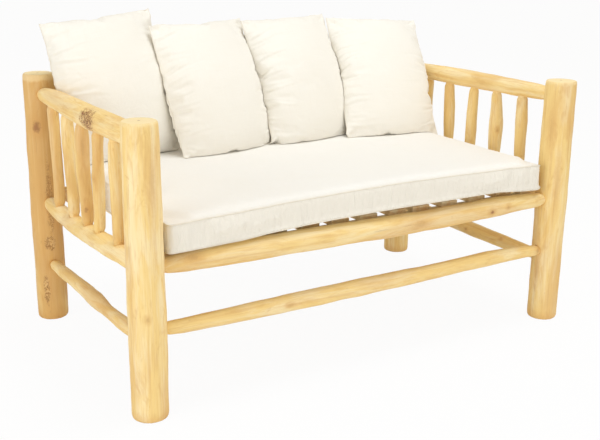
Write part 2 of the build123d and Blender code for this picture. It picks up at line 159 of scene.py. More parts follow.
class PeeledWood(bpy.types.PropertyGroup):
    """Peeled, oiled poles."""
    light: colour("Light wood", "Sapwood in full light", (0.955, 0.785, 0.455))
    honey: colour("Honey wood", "The wood's main colour", (0.915, 0.665, 0.265))
    tan: colour("Tan wood", "Darker figure and weathered sides", (0.690, 0.380, 0.120))
    bark: colour("Bark", "Knots and checks", (0.340, 0.145, 0.060))
    scar: colour("Scar", "Veins in a remaining patch of bark", (0.300, 0.085, 0.035))
    post_grid: length("Post mesh", "Size of the squares of a post's surface", 0.0045)
    rail_grid: length("Rail mesh", "Size of the squares of a rail's surface", 0.0036)
    spindle_grid: length("Spindle mesh", "Size of the squares of a spindle's surface", 0.0027)
    unevenness: length("Unevenness", "How far the peeled surface swells and dips", 0.0022)


class SlatWood(bpy.types.PropertyGroup):
    """Sawn slats and ledgers."""
    # The slat face colour is paler than the wood itself: painted light for the shaded slit under the seat
    # cushion.
    face: colour("Slat face", "Sawn face of a slat", (0.980, 0.840, 0.560))
    streak: colour("Slat streak", "Darker heartwood in a slat", (0.850, 0.570, 0.270))
    trim: length("Trim", "How much narrower a slat is than the room that is kept for it", 0.020)
    nudge: length("Nudge", "How far every slat lies to the right of its room", 0.006)
    steel: colour("Steel", "Coach screws under the seat", (0.420, 0.410, 0.390))


class CottonCover(bpy.types.PropertyGroup):
    """Undyed cotton covers."""
    cloth: colour("Cloth", "Undyed cotton", (0.930, 0.898, 0.822))
    # The seat cushion's cloth is paler than the back cushions' cloth, as painted light on the seat top.
    seat_cloth_painted_light: colour("Top cloth", "Bleached cotton on the seat cushion", (0.940, 0.918, 0.868))
    thread: colour("Thread", "Seams and stitching", (0.870, 0.810, 0.690))
    weave: length("Weave", "Distance from thread to thread", 0.0014)
    seat_grid: length("Seat mesh", "Size of the squares of the seat cushion's surface", 0.0088)
    seat_rise: length("Seat rise", "Most that the seat cushion's surface swells", 0.009)
    pillow_width: length("Pillow width", "Width of a back cushion's cut panel at its corners", 0.310)
    pillow_height: length("Pillow height", "Height of a back cushion's cut panel at its corners", 0.394)
    side_bow: length("Side bow", "How far the left and right edges of the cut panel bow out", 0.022)
    top_bow: length("Top bow", "How far the top and bottom edges of the cut panel bow out", 0.018)
    pillow_ear: length("Pillow corner", "How far each corner of the cut panel is drawn out", 0.012)
    pillow_fullness: length("Pillow fullness", "Thickness of a filled back cushion", 0.146)
    pillow_grid: length("Pillow mesh", "Size of the squares of a back cushion's surface", 0.0056)
    welt: length("Seam", "Half thickness of a closed seam", 0.0011)


class Studio(bpy.types.PropertyGroup):
    """Camera and lamps."""
    camera_place: FloatVectorProperty(
        name="Camera", description="Where the camera stands", size=3, subtype="TRANSLATION",
        default=(-1.37703, -2.25604, 1.07052))
    camera_turn: FloatVectorProperty(
        name="Camera turn", description="How the camera is turned", size=3, subtype="EULER",
        default=(math.radians(73.45318), math.radians(-0.56173), math.radians(-31.25311)))
    camera_lens: FloatProperty(
        name="Lens", description="Focal length in millimetres", default=58.87, min=1)
    daylight: FloatProperty(
        name="Daylight", description="Strength of the light from all round", default=0.615, min=0)
    key: FloatProperty(name="Key lamp", description="Power of the large lamp overhead", default=71, min=0)
    fill: FloatProperty(name="Fill lamp", description="Power of the side lamp", default=33, min=0)
    low: FloatProperty(name="Low lamp", description="Power of the low front lamp", default=20, min=0)


# Handling of pieces


def hold(piece):
    """Selects one piece and nothing else."""
    bpy.ops.object.select_all(action="DESELECT")
    piece.select_set(True)
    bpy.context.view_layer.objects.active = piece


def press(piece, kind, **settings):
    """Adds one modifier to a piece and applies it."""
    hold(piece)
    modifier = piece.modifiers.new(kind.title(), kind)
    for key, value in settings.items():
        setattr(modifier, key, value)
    bpy.ops.object.modifier_apply(modifier=modifier.name)


def copy_of(node_name, piece_name):
    """A new piece with the shape of one CAD node, its loose triangles joined."""
    piece = bpy.data.objects.new(piece_name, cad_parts[node_name].data.copy())
    bpy.context.scene.collection.objects.link(piece)
    piece.data.materials.clear()
    hold(piece)
    bpy.ops.object.mode_set(mode="EDIT")
    bpy.ops.mesh.select_all(action="SELECT")
    bpy.ops.mesh.remove_doubles(threshold=TIDY)
    bpy.ops.mesh.normals_make_consistent(inside=False)
    bpy.ops.object.mode_set(mode="OBJECT")
    return piece


def finish_node(name, material):
    """Gives a CAD node that stays in the scene its material."""
    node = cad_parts[name]
    node.data.materials.clear()
    node.data.materials.append(material)


def rows_of(items, key, width, kind=float):
    """One property of all items of a mesh, as rows of some width."""
    rows = np.empty(len(items) * width, kind)
    items.foreach_get(key, rows)
    return rows.reshape(-1, width)


def points_of(piece):
    """The piece's points as rows of x, y and z."""
    return rows_of(piece.data.vertices, "co", 3)


def set_points(piece, points):
    """Puts the piece's points where the rows say."""
    piece.data.vertices.foreach_set("co", points.ravel())
    piece.data.update()


def corners_of(piece):
    """The number of the point at each corner of the piece's faces."""
    return rows_of(piece.data.loops, "vertex_index", 1, int)[:, 0]


def pairs_of(piece):
    """The numbers of the two points of each edge."""
    return rows_of(piece.data.edges, "vertices", 2, int)


def note(piece, name, domain, values):
    """Stores one number for each point or edge of a piece."""
    made = piece.data.attributes.new(name, "FLOAT", domain)
    made.data.foreach_set("value", np.asarray(values, np.float32))


def lay_out(piece, places):
    """Sets the panel layout at the corners of all faces."""
    layout = piece.data.uv_layers.active or piece.data.uv_layers.new(name="UVMap")
    layout.data.foreach_set("uv", places.ravel())


def uneven(name, size, depth):
    """A soft random relief for the displacement of a surface."""
    texture = bpy.data.textures.new(name, "CLOUDS")
    texture.noise_scale = size
    texture.noise_depth = depth
    return texture


# Materials


class Bench:
    """Lays out the nodes of one material."""

    def __init__(self, name):
        self.material = bpy.data.materials.new(name)
        self.material.use_nodes = True
        self.tree = self.material.node_tree
        self.shader = self.tree.nodes["Principled BSDF"]
        self.place = self.node("ShaderNodeTexCoord").outputs["Object"]

    def feed(self, socket, value):
        """Gives a socket a value or a link."""
        if isinstance(value, bpy.types.NodeSocket):
            self.tree.links.new(value, socket)
        elif isinstance(value, tuple) and len(value) == 3 and len(socket.default_value) == 4:
            socket.default_value = (*value, 1)
        else:
            socket.default_value = value

    def node(self, kind, inputs=None, **settings):
        """Adds one node with its settings and inputs."""
        made = self.tree.nodes.new(kind)
        for key, value in settings.items():
            setattr(made, key, value)
        for key, value in (inputs or {}).items():
            self.feed(made.inputs[key], value)
        return made

    def sum(self, kind, first, second=0.0):
        """One step of arithmetic."""
        return self.node("ShaderNodeMath", {0: first, 1: second}, operation=kind).outputs["Value"]

    def times(self, first, second):
        """One value times another."""
        return self.sum("MULTIPLY", first, second)

    def vector(self, kind, first, second=(0.0, 0.0, 0.0), result="Vector"):
        """One step of arithmetic on a place or a direction."""
        return self.node("ShaderNodeVectorMath", {0: first, 1: second}, operation=kind).outputs[result]

    def stretched(self, scale, place=None):
        """The place, squeezed or stretched along each way."""
        return self.node(
            "ShaderNodeMapping", {"Vector": place or self.place, "Scale": scale}).outputs["Vector"]

    def noise(self, vector, scale, detail=3.0, roughness=0.55, distortion=0.0):
        """Soft random variation."""
        return self.node("ShaderNodeTexNoise", {
            "Vector": vector, "Scale": scale, "Detail": detail, "Roughness": roughness,
            "Distortion": distortion}).outputs["Fac"]

    def step(self, value, low, high):
        """Zero below low, one above high and smooth between."""
        return self.node("ShaderNodeMapRange", {
            "Value": value, "From Min": low, "From Max": high},
            interpolation_type="SMOOTHSTEP").outputs["Result"]

    def between(self, value, low, high):
        """Stretches zero to one out to low to high."""
        return self.node(
            "ShaderNodeMapRange", {"Value": value, "To Min": low, "To Max": high}).outputs["Result"]

    def mix(self, share, first, second):
        """Blends two colours."""
        return self.node(
            "ShaderNodeMix", {"Factor": share, 6: first, 7: second}, data_type="RGBA").outputs[2]

    def tint(self, base, mask, share, tone):
        """Lays a share of one colour over another where the mask says."""
        return self.mix(self.times(mask, share), base, tone)

    def relief(self, height, depth, below=None):
        """Bump of a depth in metres."""
        inputs = {"Height": height, "Distance": depth, "Strength": 1.0}
        if below is not None:
            inputs["Normal"] = below
        return self.node("ShaderNodeBump", inputs).outputs["Normal"]

    def away(self, centre, half_width, half_length, grain):
        """Distance from a spot, in its own half lengths, longer along the grain."""
        scale = [1 / half_width] * 3
        scale[grain] = 1 / half_length
        offset = self.vector("SUBTRACT", self.place, centre)
        return self.vector("LENGTH", self.vector("MULTIPLY", offset, tuple(scale)), result="Value")

    def coat(self, base, roughness, shine, normal):
        """Feeds the shader and hands over the finished material."""
        inputs = {"Base Color": base, "Roughness": roughness, "Specular IOR Level": shine, "Normal": normal}
        for key, value in inputs.items():
            self.feed(self.shader.inputs[key], value)
        return self.material


def peeled_wood(name, grain, shade, knots=(), bark=(), end_grain=False):
    """Peeled pole wood whose grain runs along axis 0, 1 or 2. Shade is 0 if pale, 1 or more if tan."""
    looks = bpy.context.scene.loveseat_wood
    bench = Bench(name)
    light, honey, tan, dark, scar = (
        tuple(tone) for tone in (looks.light, looks.honey, looks.tan, looks.bark, looks.scar))
    along = [1.0, 1.0, 1.0]

    def drawn(share):
        along[grain] = share
        return bench.stretched(tuple(along))

    figure = bench.noise(drawn(0.14), 27.0, 4.0, 0.62, 0.9)
    patches = bench.noise(drawn(0.30), 9.0, 3.0, 0.55, 0.6)
    blush = bench.noise(drawn(0.22), 46.0, 3.0, 0.60, 0.8)
    fibres = bench.noise(drawn(0.02), 430.0, 5.0, 0.7)
    streaks = bench.noise(drawn(0.03), 88.0, 3.0, 0.6, 0.4)
    flecks = bench.noise(drawn(0.25), 150.0, 2.0, 0.6)
    mottle = bench.noise(drawn(0.40), 30.0, 4.0, 0.68, 1.4)

    base = bench.mix(bench.step(figure, 0.34 - 0.06 * shade, 0.62 - 0.06 * shade), light, honey)
    for value, low, high, share, tone in (
        (patches, 0.50 - 0.16 * shade, 0.72 - 0.16 * shade, 0.30 + 0.35 * shade, tan),
        (blush, 0.52, 0.70, 0.28 + 0.18 * shade, tan),
        (streaks, 0.54, 0.70, 0.30 + 0.20 * shade, tan),
        (bench.sum("SUBTRACT", 1.0, streaks), 0.56, 0.70, 0.35 - 0.15 * shade, light),
        (fibres, 0.48, 0.72, 0.34, tan),
        (mottle, 0.60, 0.74, 0.26 + 0.26 * shade, tan),
        (flecks, 0.70, 0.80, 0.30, dark),
    ):
        base = bench.tint(base, bench.step(value, low, high), share, tone)

    relief = bench.sum("ADD", bench.times(fibres, 0.35), bench.times(figure, 0.65))
    checks = bench.step(bench.noise(drawn(0.012), 150.0, 2.0, 0.5), 0.71, 0.77)
    base = bench.tint(base, checks, 0.40, dark)
    relief = bench.sum("SUBTRACT", relief, bench.times(checks, 0.8))

    wobble = bench.between(bench.noise(bench.place, 150.0, 3.0), -0.45, 0.45)
    for place, half_length, half_width, depth in knots:
        near = bench.sum("ADD", bench.away(place, half_width, half_length, grain), wobble)
        core = bench.step(near, 0.95, 0.25)
        base = bench.tint(base, bench.step(near, 2.3, 0.5), 0.30 + 0.35 * depth, tan)
        base = bench.tint(base, core, depth ** 1.6, dark)
        relief = bench.sum("SUBTRACT", relief, bench.times(core, 1.2 * depth ** 2))
    for place, half_length, half_width, strength in bark:
        near = bench.sum("ADD", bench.away(place, half_width, half_length, grain), bench.between(
            bench.noise(bench.place, 75.0, 4.0, 0.7), -0.9, 0.9))
        patch = bench.times(bench.step(near, 1.10, 0.65), strength)
        crests = bench.sum("ABSOLUTE", bench.sum(
            "SUBTRACT", bench.noise(bench.place, 58.0, 3.0, 0.6, 2.4), 0.5))
        veins = bench.times(patch, bench.step(crests, 0.045, 0.015))
        pale = bench.times(patch, bench.step(crests, 0.06, 0.12))
        base = bench.tint(base, patch, 0.70, tan)
        base = bench.tint(base, pale, 0.42, light)
        base = bench.tint(base, veins, 0.95, scar)
        relief = bench.sum("ADD", relief, bench.times(veins, 1.8))
    if end_grain:
        facing = bench.node("ShaderNodeTexCoord").outputs["Normal"]
        up = bench.node("ShaderNodeSeparateXYZ", {0: facing}).outputs["Z"]
        flat = bench.step(bench.sum("ABSOLUTE", up), 0.80, 0.95)
        from_pith = bench.vector("SUBTRACT", bench.vector("ABSOLUTE", bench.place), PITH)
        level = bench.stretched((1.0, 1.0, 0.0), from_pith)
        turned = bench.vector("NORMALIZE", level)
        span = bench.vector("LENGTH", level, result="Value")
        bent = bench.sum("ADD", span, bench.between(bench.noise(bench.place, 30.0, 3.0), -0.004, 0.004))
        rings = bench.sum("SINE", bench.times(bent, 2300.0))
        rays = bench.step(bench.noise(turned, 4.2, 3.0, 0.7), 0.66, 0.71)
        rays = bench.times(rays, bench.step(span, 0.036, 0.008))
        pith = bench.step(span, 0.0045, 0.0015)
        sawn = bench.mix(bench.between(rings, 0.00, 0.28), light, honey)
        sawn = bench.tint(sawn, rays, 0.60, tan)
        sawn = bench.tint(sawn, pith, 0.6, dark)
        base = bench.mix(flat, base, sawn)
        relief = bench.sum("SUBTRACT", relief, bench.times(
            flat, bench.sum("ADD", bench.times(rays, 1.5), pith)))
        # Darker tan towards the foot of a post, and paler in a band just under its top end.
        high = bench.node("ShaderNodeSeparateXYZ", {0: bench.place}).outputs["Z"]
        height_with_jitter = bench.sum("ADD", high, bench.between(bench.noise(bench.place, 60.0, 3.0), -0.010, 0.010))
        base = bench.tint(base, bench.step(height_with_jitter, 0.030, 0.004), 0.40, tan)
        paler_mask = bench.times(bench.step(height_with_jitter, 0.672, 0.682), bench.sum("SUBTRACT", 1.0, flat))
        base = bench.tint(base, paler_mask, 0.45, light)

    return bench.coat(base, bench.between(mottle, 0.50, 0.75), 0.38, bench.relief(relief, 0.0007))


def sawn_wood(name, grain):
    """Sawn, planed softwood with darker heartwood bands, paler along its rounded edges."""
    looks = bpy.context.scene.loveseat_slats
    # The face colour carries painted light for the shaded slit under the seat cushion.
    face, streak = tuple(looks.face), tuple(looks.streak)
    bench = Bench(name)
    along = [1.0, 1.0, 1.0]
    along[grain] = 0.05
    grained = bench.stretched(tuple(along))
    bands = bench.noise(grained, 38.0, 3.0, 0.55, 0.7)
    fibres = bench.noise(grained, 480.0, 4.0, 0.7)
    along[grain] = 0.02
    boards = bench.noise(bench.stretched(tuple(along)), 11.0, 1.0, 0.4)
    saw = bench.noise(bench.stretched((0.2, 1.0, 1.0) if grain else (1.0, 0.2, 1.0)), 260.0, 2.0)
    base = bench.mix(bench.step(bands, 0.34, 0.66), face, streak)
    base = bench.tint(base, bench.step(boards, 0.5, 0.62), 0.55, streak)
    base = bench.tint(base, bench.step(fibres, 0.5, 0.7), 0.25, streak)
    facing = bench.node("ShaderNodeTexCoord").outputs["Normal"]
    ways = bench.node("ShaderNodeSeparateXYZ", {0: bench.vector("ABSOLUTE", facing)}).outputs
    blunt = bench.sum("MAXIMUM", bench.sum("MAXIMUM", ways["X"], ways["Y"]), ways["Z"])
    paler_mask = bench.times(bench.step(blunt, 0.95, 0.80), bench.between(saw, 0.3, 0.9))
    base = bench.mix(paler_mask, base, face)
    rough = bench.sum("ADD", fibres, bench.times(saw, 0.6))
    return bench.coat(base, bench.between(bands, 0.55, 0.78), 0.3, bench.relief(rough, 0.0003))


def screw_steel():
    """Zinc-coated steel with turned marks and a little rust in spots."""
    looks = bpy.context.scene.loveseat_slats
    bench = Bench("screw_steel")
    marks = bench.noise(bench.stretched((1.0, 0.1, 1.0)), 900.0, 2.0)
    bloom = bench.noise(bench.place, 320.0, 4.0, 0.7)
    rust = bench.step(bloom, 0.60, 0.72)
    steel = tuple(looks.steel)
    base = bench.mix(bench.between(marks, 0.0, 0.5), steel, tuple(0.6 * part for part in steel))
    base = bench.tint(base, rust, 0.7, tuple(looks.streak))
    bench.feed(bench.shader.inputs["Metallic"], bench.between(rust, 1.0, 0.35))
    return bench.coat(base, bench.between(bloom, 0.30, 0.60), 0.5, bench.relief(marks, 0.0001))


def cotton(name, seam_piece=False, band=False):
    """Undyed cotton canvas on the piece's own panel layout, in metres. A band is puckered upright and
    tinted towards the thread colour as painted shade, and a cover with a band takes the paler seat cloth as
    painted light.
    """
    looks = bpy.context.scene.loveseat_cotton
    bench = Bench(name)
    laid = bench.node("ShaderNodeTexCoord").outputs["UV"]
    turns = math.tau / looks.weave
    ways = bench.node("ShaderNodeSeparateXYZ", {0: laid}).outputs
    weave = bench.times(
        bench.sum("SINE", bench.times(ways["X"], turns)), bench.sum("SINE", bench.times(ways["Y"], turns)))
    slub_warp = bench.noise(bench.stretched((1.0, 0.03, 1.0), laid), 620.0, 2.0, 0.6)
    slub_weft = bench.noise(bench.stretched((0.03, 1.0, 1.0), laid), 620.0, 2.0, 0.6)
    slub = bench.sum("ADD", slub_warp, slub_weft)
    soft = bench.noise(bench.place, 5.0, 3.0, 0.5, 0.5)
    seed = bench.step(bench.noise(bench.place, 520.0, 1.0), 0.76, 0.80)
    creases = bench.noise(bench.place, 34.0, 3.0, 0.5, 1.4)
    upright = bench.node("ShaderNodeAttribute", attribute_name="band_puckers_and_painted_shade").outputs["Fac"] if band else 0.0
    puckers = bench.times(upright, bench.noise(
        bench.stretched((1.0, 1.0, 0.10)), 105.0, 3.0, 0.6, 0.3))
    thread = tuple(looks.thread)
    # A cover with a band takes the paler seat cloth, painted light on the seat top.
    base = thread if seam_piece else tuple(looks.seat_cloth_painted_light if band else looks.cloth)
    # On the band the mask tints the cloth towards the thread colour: painted shade, warm as if from light
    # off the wood.
    for mask, share in (
        (bench.step(slub, 0.85, 1.25), 0.16), (bench.step(soft, 0.45, 0.75), 0.07), (seed, 0.35),
        (upright, 0.55),
    ):
        base = bench.tint(base, mask, share, thread)
    bench.shader.inputs["Sheen Weight"].default_value = 0.18
    bench.shader.inputs["Sheen Roughness"].default_value = 0.6
    fine = bench.relief(bench.sum("ADD", bench.times(weave, 0.5), slub), 0.00016)
    normal = bench.relief(puckers, 0.0042, bench.relief(creases, 0.0014, fine))
    return bench.coat(base, bench.between(soft, 0.82, 0.95), 0.2, normal)


# Poles


def marks_on(marks, names):
    """The knots or the bark on some of the poles, without the poles' names."""
    return tuple(row[1:] for row in marks if row[0] in names)


def dress_pole(name, grid, material):
    """Rounds one pole of the frame and gives it an uneven, peeled surface. A post's ends stay flat."""
    looks = bpy.context.scene.loveseat_wood
    piece = copy_of(name, f"{name}_peeled")
    piece.data.remesh_voxel_size = grid
    bpy.ops.object.voxel_remesh()
    press(piece, "SMOOTH", factor=0.5, iterations=12, use_z=name not in POSTS)
    press(piece, "DISPLACE", strength=0.0012 if grid > 0.003 else 0.0008, mid_level=0.0)
    for form, size, depth, share in (("swell", 0.085, 1, 1.6), ("dents", 0.022, 2, 0.35)):
        press(
            piece, "DISPLACE", texture=uneven(f"{name}_{form}", size, depth),
            strength=looks.unevenness * share, mid_level=0.5, texture_coords="LOCAL")
    points = points_of(piece)
    for place, half_length, _, depth in marks_on(KNOTS, [name]):
        offset = points - np.array(place)
        near = np.exp(-np.sum(offset ** 2, axis=1) / (2 * min(1.3 * half_length, KNOT_REACH) ** 2))
        points += rows_of(piece.data.vertices, "normal", 3) * (near * KNOT_RISE * depth)[:, None]
    if name in POSTS:
        points[:, 2] = np.clip(points[:, 2], 0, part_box(name)[1].z - 0.0008)
    set_points(piece, points)
    bpy.ops.object.shade_smooth()
    piece.data.materials.append(material)
    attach(piece, "frame")
    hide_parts(name)


class LOVESEAT_OT_posts(bpy.types.Operator):
    """Peels the four posts, with sawn ends, knots and checks"""
    bl_idname = "loveseat.posts"
    bl_label = "Posts"

    def execute(self, context):
        grid = context.scene.loveseat_wood.post_grid
        for name, shade in POSTS.items():
            wood = peeled_wood(
                f"{name}_wood", 2, shade, marks_on(KNOTS, [name]), marks_on(BARK, [name]), end_grain=True)
            dress_pole(name, grid, wood)
        return {"FINISHED"}


class LOVESEAT_OT_rails(bpy.types.Operator):
    """Peels the rails, the arms and the stretchers"""
    bl_idname = "loveseat.rails"
    bl_label = "Rails and stretchers"

    def execute(self, context):
        grid = context.scene.loveseat_wood.rail_grid
        for grain, shade, names in ((0, CROSS_SHADE, CROSS_POLES), (1, SIDE_SHADE, SIDE_POLES)):
            for name in names:
                wood = peeled_wood(
                    f"{name}_wood", grain, shade, marks_on(KNOTS, [name]), marks_on(BARK, [name]))
                dress_pole(name, grid, wood)
        return {"FINISHED"}


class LOVESEAT_OT_spindles(bpy.types.Operator):
    """Peels the spindles of the two sides and the back"""
    bl_idname = "loveseat.spindles"
    bl_label = "Spindles"

    def execute(self, context):
        grid = context.scene.loveseat_wood.spindle_grid
        for side, names in SPINDLES.items():
            wood = peeled_wood(
                f"{side}_spindle_wood", 2, SPINDLE_SHADES[side], marks_on(KNOTS, names))
            for name in names:
                dress_pole(name, grid, wood)
        return {"FINISHED"}


class LOVESEAT_OT_seat_deck(bpy.types.Operator):
    """Saws the slats, and finishes the ledgers under them and their coach screws"""
    bl_idname = "loveseat.seat_deck"
    bl_label = "Seat deck"

    def execute(self, context):
        looks = context.scene.loveseat_slats
        wood = sawn_wood("slat_wood", 1)
        lowest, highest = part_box(SLATS[0])
        size = highest - lowest
        width = size.x - looks.trim
        bpy.ops.mesh.primitive_cube_add(size=1)
        model = bpy.context.active_object
        bpy.ops.object.mode_set(mode="EDIT")
        bpy.ops.mesh.select_all(action="SELECT")
        bpy.ops.transform.resize(value=(width, size.y, size.z))
        bpy.ops.mesh.bevel(offset=0.0016, segments=2, affect="EDGES")
        bpy.ops.object.mode_set(mode="OBJECT")
        press(model, "SUBSURF", subdivision_type="SIMPLE", levels=3, render_levels=3)
        bpy.ops.object.shade_smooth_by_angle(angle=math.radians(30))
        model.data.materials.append(wood)
        for name in SLATS:
            hold(model)
            bpy.ops.object.duplicate()
            slat = bpy.context.active_object
            slat.name = f"{name}_sawn"
            low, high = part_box(name)
            middle = (low + high) / 2
            slat.data.transform(Matrix.Translation(
                (high.x + looks.nudge - width / 2, middle.y, middle.z)))
            points = points_of(slat)
            warp = np.array([noise.noise(Vector((point[0] * 9, point[1] * 4, 5))) for point in points])
            points[:, 0] += warp * 0.0016
            points[:, 2] -= np.abs(warp) * 0.0006
            set_points(slat, points)
            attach(slat, "frame")
            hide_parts(name)
        bpy.data.objects.remove(model)
        wood = sawn_wood("ledger_wood", 0)
        for name in LEDGERS:
            finish_node(name, wood)
        finish_node("ledger_screws", screw_steel())
        return {"FINISHED"}


# Cushions


def blank_panels(name, width, depth, grid, low, high, rows):
    """Two flat cut panels, one above the other, joined all round by a band of some rows."""
    bpy.ops.mesh.primitive_grid_add(
        x_subdivisions=round(width / grid), y_subdivisions=round(depth / grid), size=1,
        location=(0, 0, low))
    piece = bpy.context.active_object
    piece.name = name
    bpy.ops.object.mode_set(mode="EDIT")
    bpy.ops.mesh.select_all(action="SELECT")
    bpy.ops.transform.resize(value=(width, depth, 1))
    for _ in range(rows):
        bpy.ops.mesh.extrude_region_move(TRANSFORM_OT_translate={"value": (0, 0, (high - low) / rows)})
    bpy.ops.mesh.select_all(action="SELECT")
    bpy.ops.mesh.normals_make_consistent(inside=False)
    bpy.ops.object.mode_set(mode="OBJECT")
    bpy.ops.object.transform_apply(location=True, rotation=True, scale=True)
    return piece


def swell(piece, pressure, frames, shrink, gathered, bend):
    """Blows a closed cover up from inside, with no gravity. Gathered says how much each point is sewn."""
    scene = bpy.context.scene
    hold(piece)
    seams = piece.vertex_groups.new(name="seams")
    for index in np.flatnonzero(gathered > 0):
        seams.add([int(index)], float(gathered[index]), "REPLACE")
    modifier = piece.modifiers.new("Cover", "CLOTH")
    cover = modifier.settings
    cover.quality = 5
    cover.mass = 0.3
    cover.tension_stiffness = cover.compression_stiffness = 15
    cover.shear_stiffness = 5
    cover.bending_stiffness = bend
    cover.use_pressure = True
    cover.uniform_pressure_force = pressure
    cover.shrink_min, cover.shrink_max = shrink
    cover.vertex_group_shrink = "seams"
    cover.effector_weights.gravity = 0
    modifier.collision_settings.use_collision = False
    modifier.point_cache.frame_start = 1
    modifier.point_cache.frame_end = frames
    for moment in range(1, frames + 1):
        scene.frame_set(moment)
    bpy.ops.object.modifier_apply(modifier=modifier.name)
    scene.frame_set(1)


def surface_of(piece):
    """The piece's surface, for what rests against it, and its lowest and highest corners."""
    points = points_of(piece)
    tree = BVHTree.FromPolygons(
        [v.co for v in piece.data.vertices], [p.vertices for p in piece.data.polygons])
    return tree, points.min(axis=0), points.max(axis=0)


def pushed_clear(points, surfaces, gap=0.0012, reach=0.060):
    """Moves each point that lies in another piece, or too near it, out to its surface."""
    for tree, lowest, highest in surfaces:
        for index in np.flatnonzero(((points > lowest - gap) & (points < highest + gap)).all(axis=1)):
            point = Vector(points[index])
            spot, normal, *_ = tree.find_nearest(point, reach)
            if spot is not None and (point - spot).dot(normal) < gap:
                points[index] = spot + normal * gap
    return points


def eased_clear(piece, surfaces):
    """Moves a cover clear of other pieces, with the rest of it drawn along smoothly."""
    links = pairs_of(piece)
    count = np.maximum(np.bincount(links.ravel(), minlength=len(piece.data.vertices)), 1)[:, None]
    points = points_of(piece)
    for _ in range(3):
        moved = pushed_clear(points.copy(), surfaces) - points
        for _ in range(8):
            total = np.zeros_like(moved)
            np.add.at(total, links[:, 0], moved[links[:, 1]])
            np.add.at(total, links[:, 1], moved[links[:, 0]])
            moved = 0.5 * moved + 0.5 * total / count
        points += moved
    set_points(piece, pushed_clear(points, surfaces))


def wood_near(*names):
    """The surfaces of some dressed poles."""
    return [surface_of(bpy.data.objects[f"{name}_peeled"]) for name in names]


def seam_along(piece, edges, name, half_thickness, material, body):
    """A closed, stitched seam that follows marked edges of a cushion."""
    hold(piece)
    bpy.ops.object.duplicate()
    seam = bpy.context.active_object
    seam.name = name
    bpy.ops.object.mode_set(mode="EDIT")
    bpy.ops.mesh.select_mode(type="EDGE")
    bpy.ops.mesh.select_all(action="DESELECT")
    bpy.ops.object.mode_set(mode="OBJECT")
    seam.data.edges.foreach_set("select", edges)
    bpy.ops.object.mode_set(mode="EDIT")
    bpy.ops.mesh.select_all(action="INVERT")
    bpy.ops.mesh.delete(type="EDGE")
    bpy.ops.object.mode_set(mode="OBJECT")
    bpy.ops.object.convert(target="CURVE")
    seam.data.bevel_depth = half_thickness
    seam.data.bevel_resolution = 1
    bpy.ops.object.convert(target="MESH")
    bpy.ops.object.shade_smooth()
    seam.data.materials.clear()
    seam.data.materials.append(material)
    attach(seam, body)


